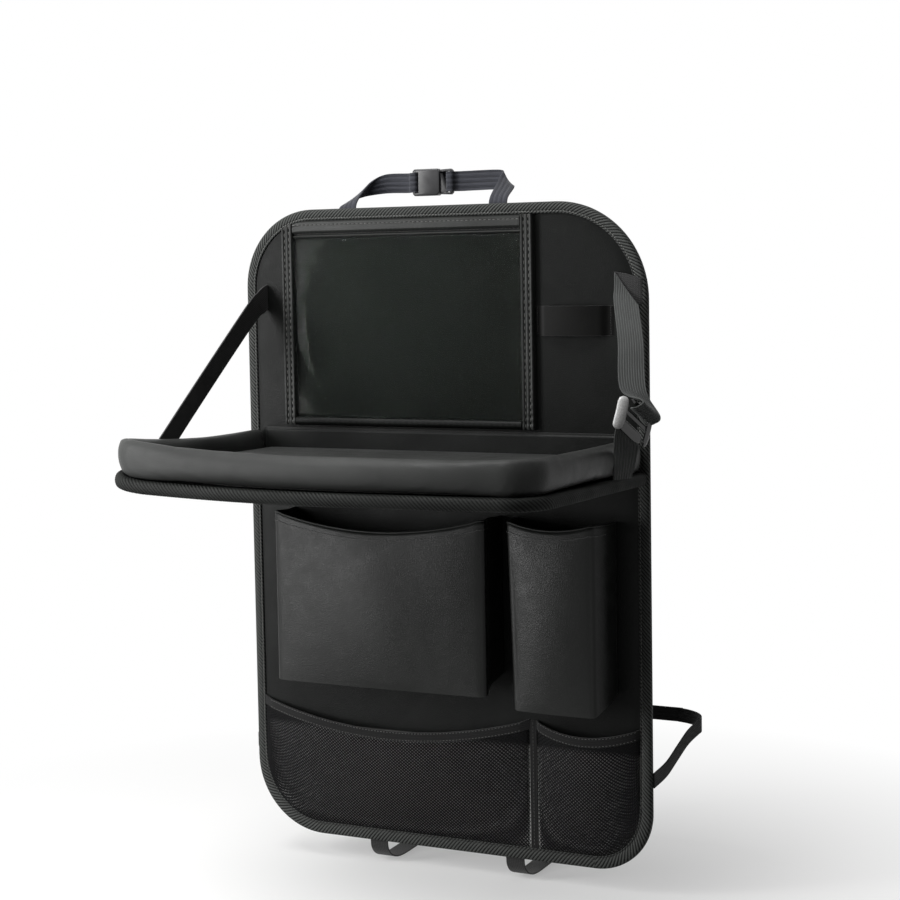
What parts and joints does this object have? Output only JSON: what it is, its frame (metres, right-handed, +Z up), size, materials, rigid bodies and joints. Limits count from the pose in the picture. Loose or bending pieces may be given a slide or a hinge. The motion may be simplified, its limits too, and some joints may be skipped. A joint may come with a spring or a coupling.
{
  "type": "car back-seat organizer",
  "caption": "Hanging back-seat organizer: bound panel with a fold-down tray, a clear tablet pocket, a pen band, gusseted pockets, mesh pockets and webbing straps.",
  "frame": {"origin": "centre of the rear lining's outer face, which lies against the seat back", "axes": "+X to the right as seen from the front of the panel, +Y backwards into the seat back, +Z up; the front looks along -Y"},
  "size_m": [0.486, 0.4406, 0.7138],
  "materials": {
    "leatherette": "fine grained, semi matte",
    "tray_leatherette": "smooth, soft sheen",
    "lining": "matte woven",
    "tape": "twill tape",
    "webbing": "ribbed webbing",
    "elastic": "knitted elastic",
    "mesh": "open net",
    "film": "clear film",
    "plastic": "moulded, satin"
  },
  "bodies": {
    "panel": {"back_panel": "leatherette", "rear_lining": "lining", "edge_binding": "tape", "window_trim_left": "leatherette", "window_trim_right": "leatherette", "window_base_trim": "leatherette", "window_header": "leatherette", "tablet_window": "film", "pen_elastic": "elastic", "hinge_hem": "leatherette", "large_pocket": "leatherette", "tall_pocket": "leatherette", "mesh_pocket_left": "mesh", "mesh_pocket_right": "mesh", "mesh_band_left": "elastic", "mesh_band_right": "elastic", "mesh_divider": "elastic", "tray_strap_left": "webbing", "tray_strap_right": "webbing", "tray_strap_buckle": "plastic", "top_strap_left": "webbing", "top_strap_right": "webbing", "top_buckle_socket": "plastic", "top_buckle_plug": "plastic", "bottom_strap_left": "webbing", "bottom_strap_right": "webbing", "bottom_hook_left": "plastic", "bottom_hook_right": "plastic", "seat_belt_left": "elastic", "seat_belt_right": "elastic", "belt_buckle_socket": "plastic", "belt_buckle_plug": "plastic"},
    "tray": {"tray_board": "leatherette", "tray_floor": "tray_leatherette", "tray_rim": "tray_leatherette", "tray_edge_binding": "tape", "tray_rear_flap": "leatherette", "tray_strap_tab": "webbing"}
  },
  "joints": [
    {"name": "tray_fold", "type": "hinge", "parent": "panel", "child": "tray", "pos_m": [0, -0.0092, 0.1], "axis": [-1, 0, 0], "range_deg": [0, 88], "deforming": ["tray_strap_left", "tray_strap_right", "tray_strap_tab"]}
  ]
}
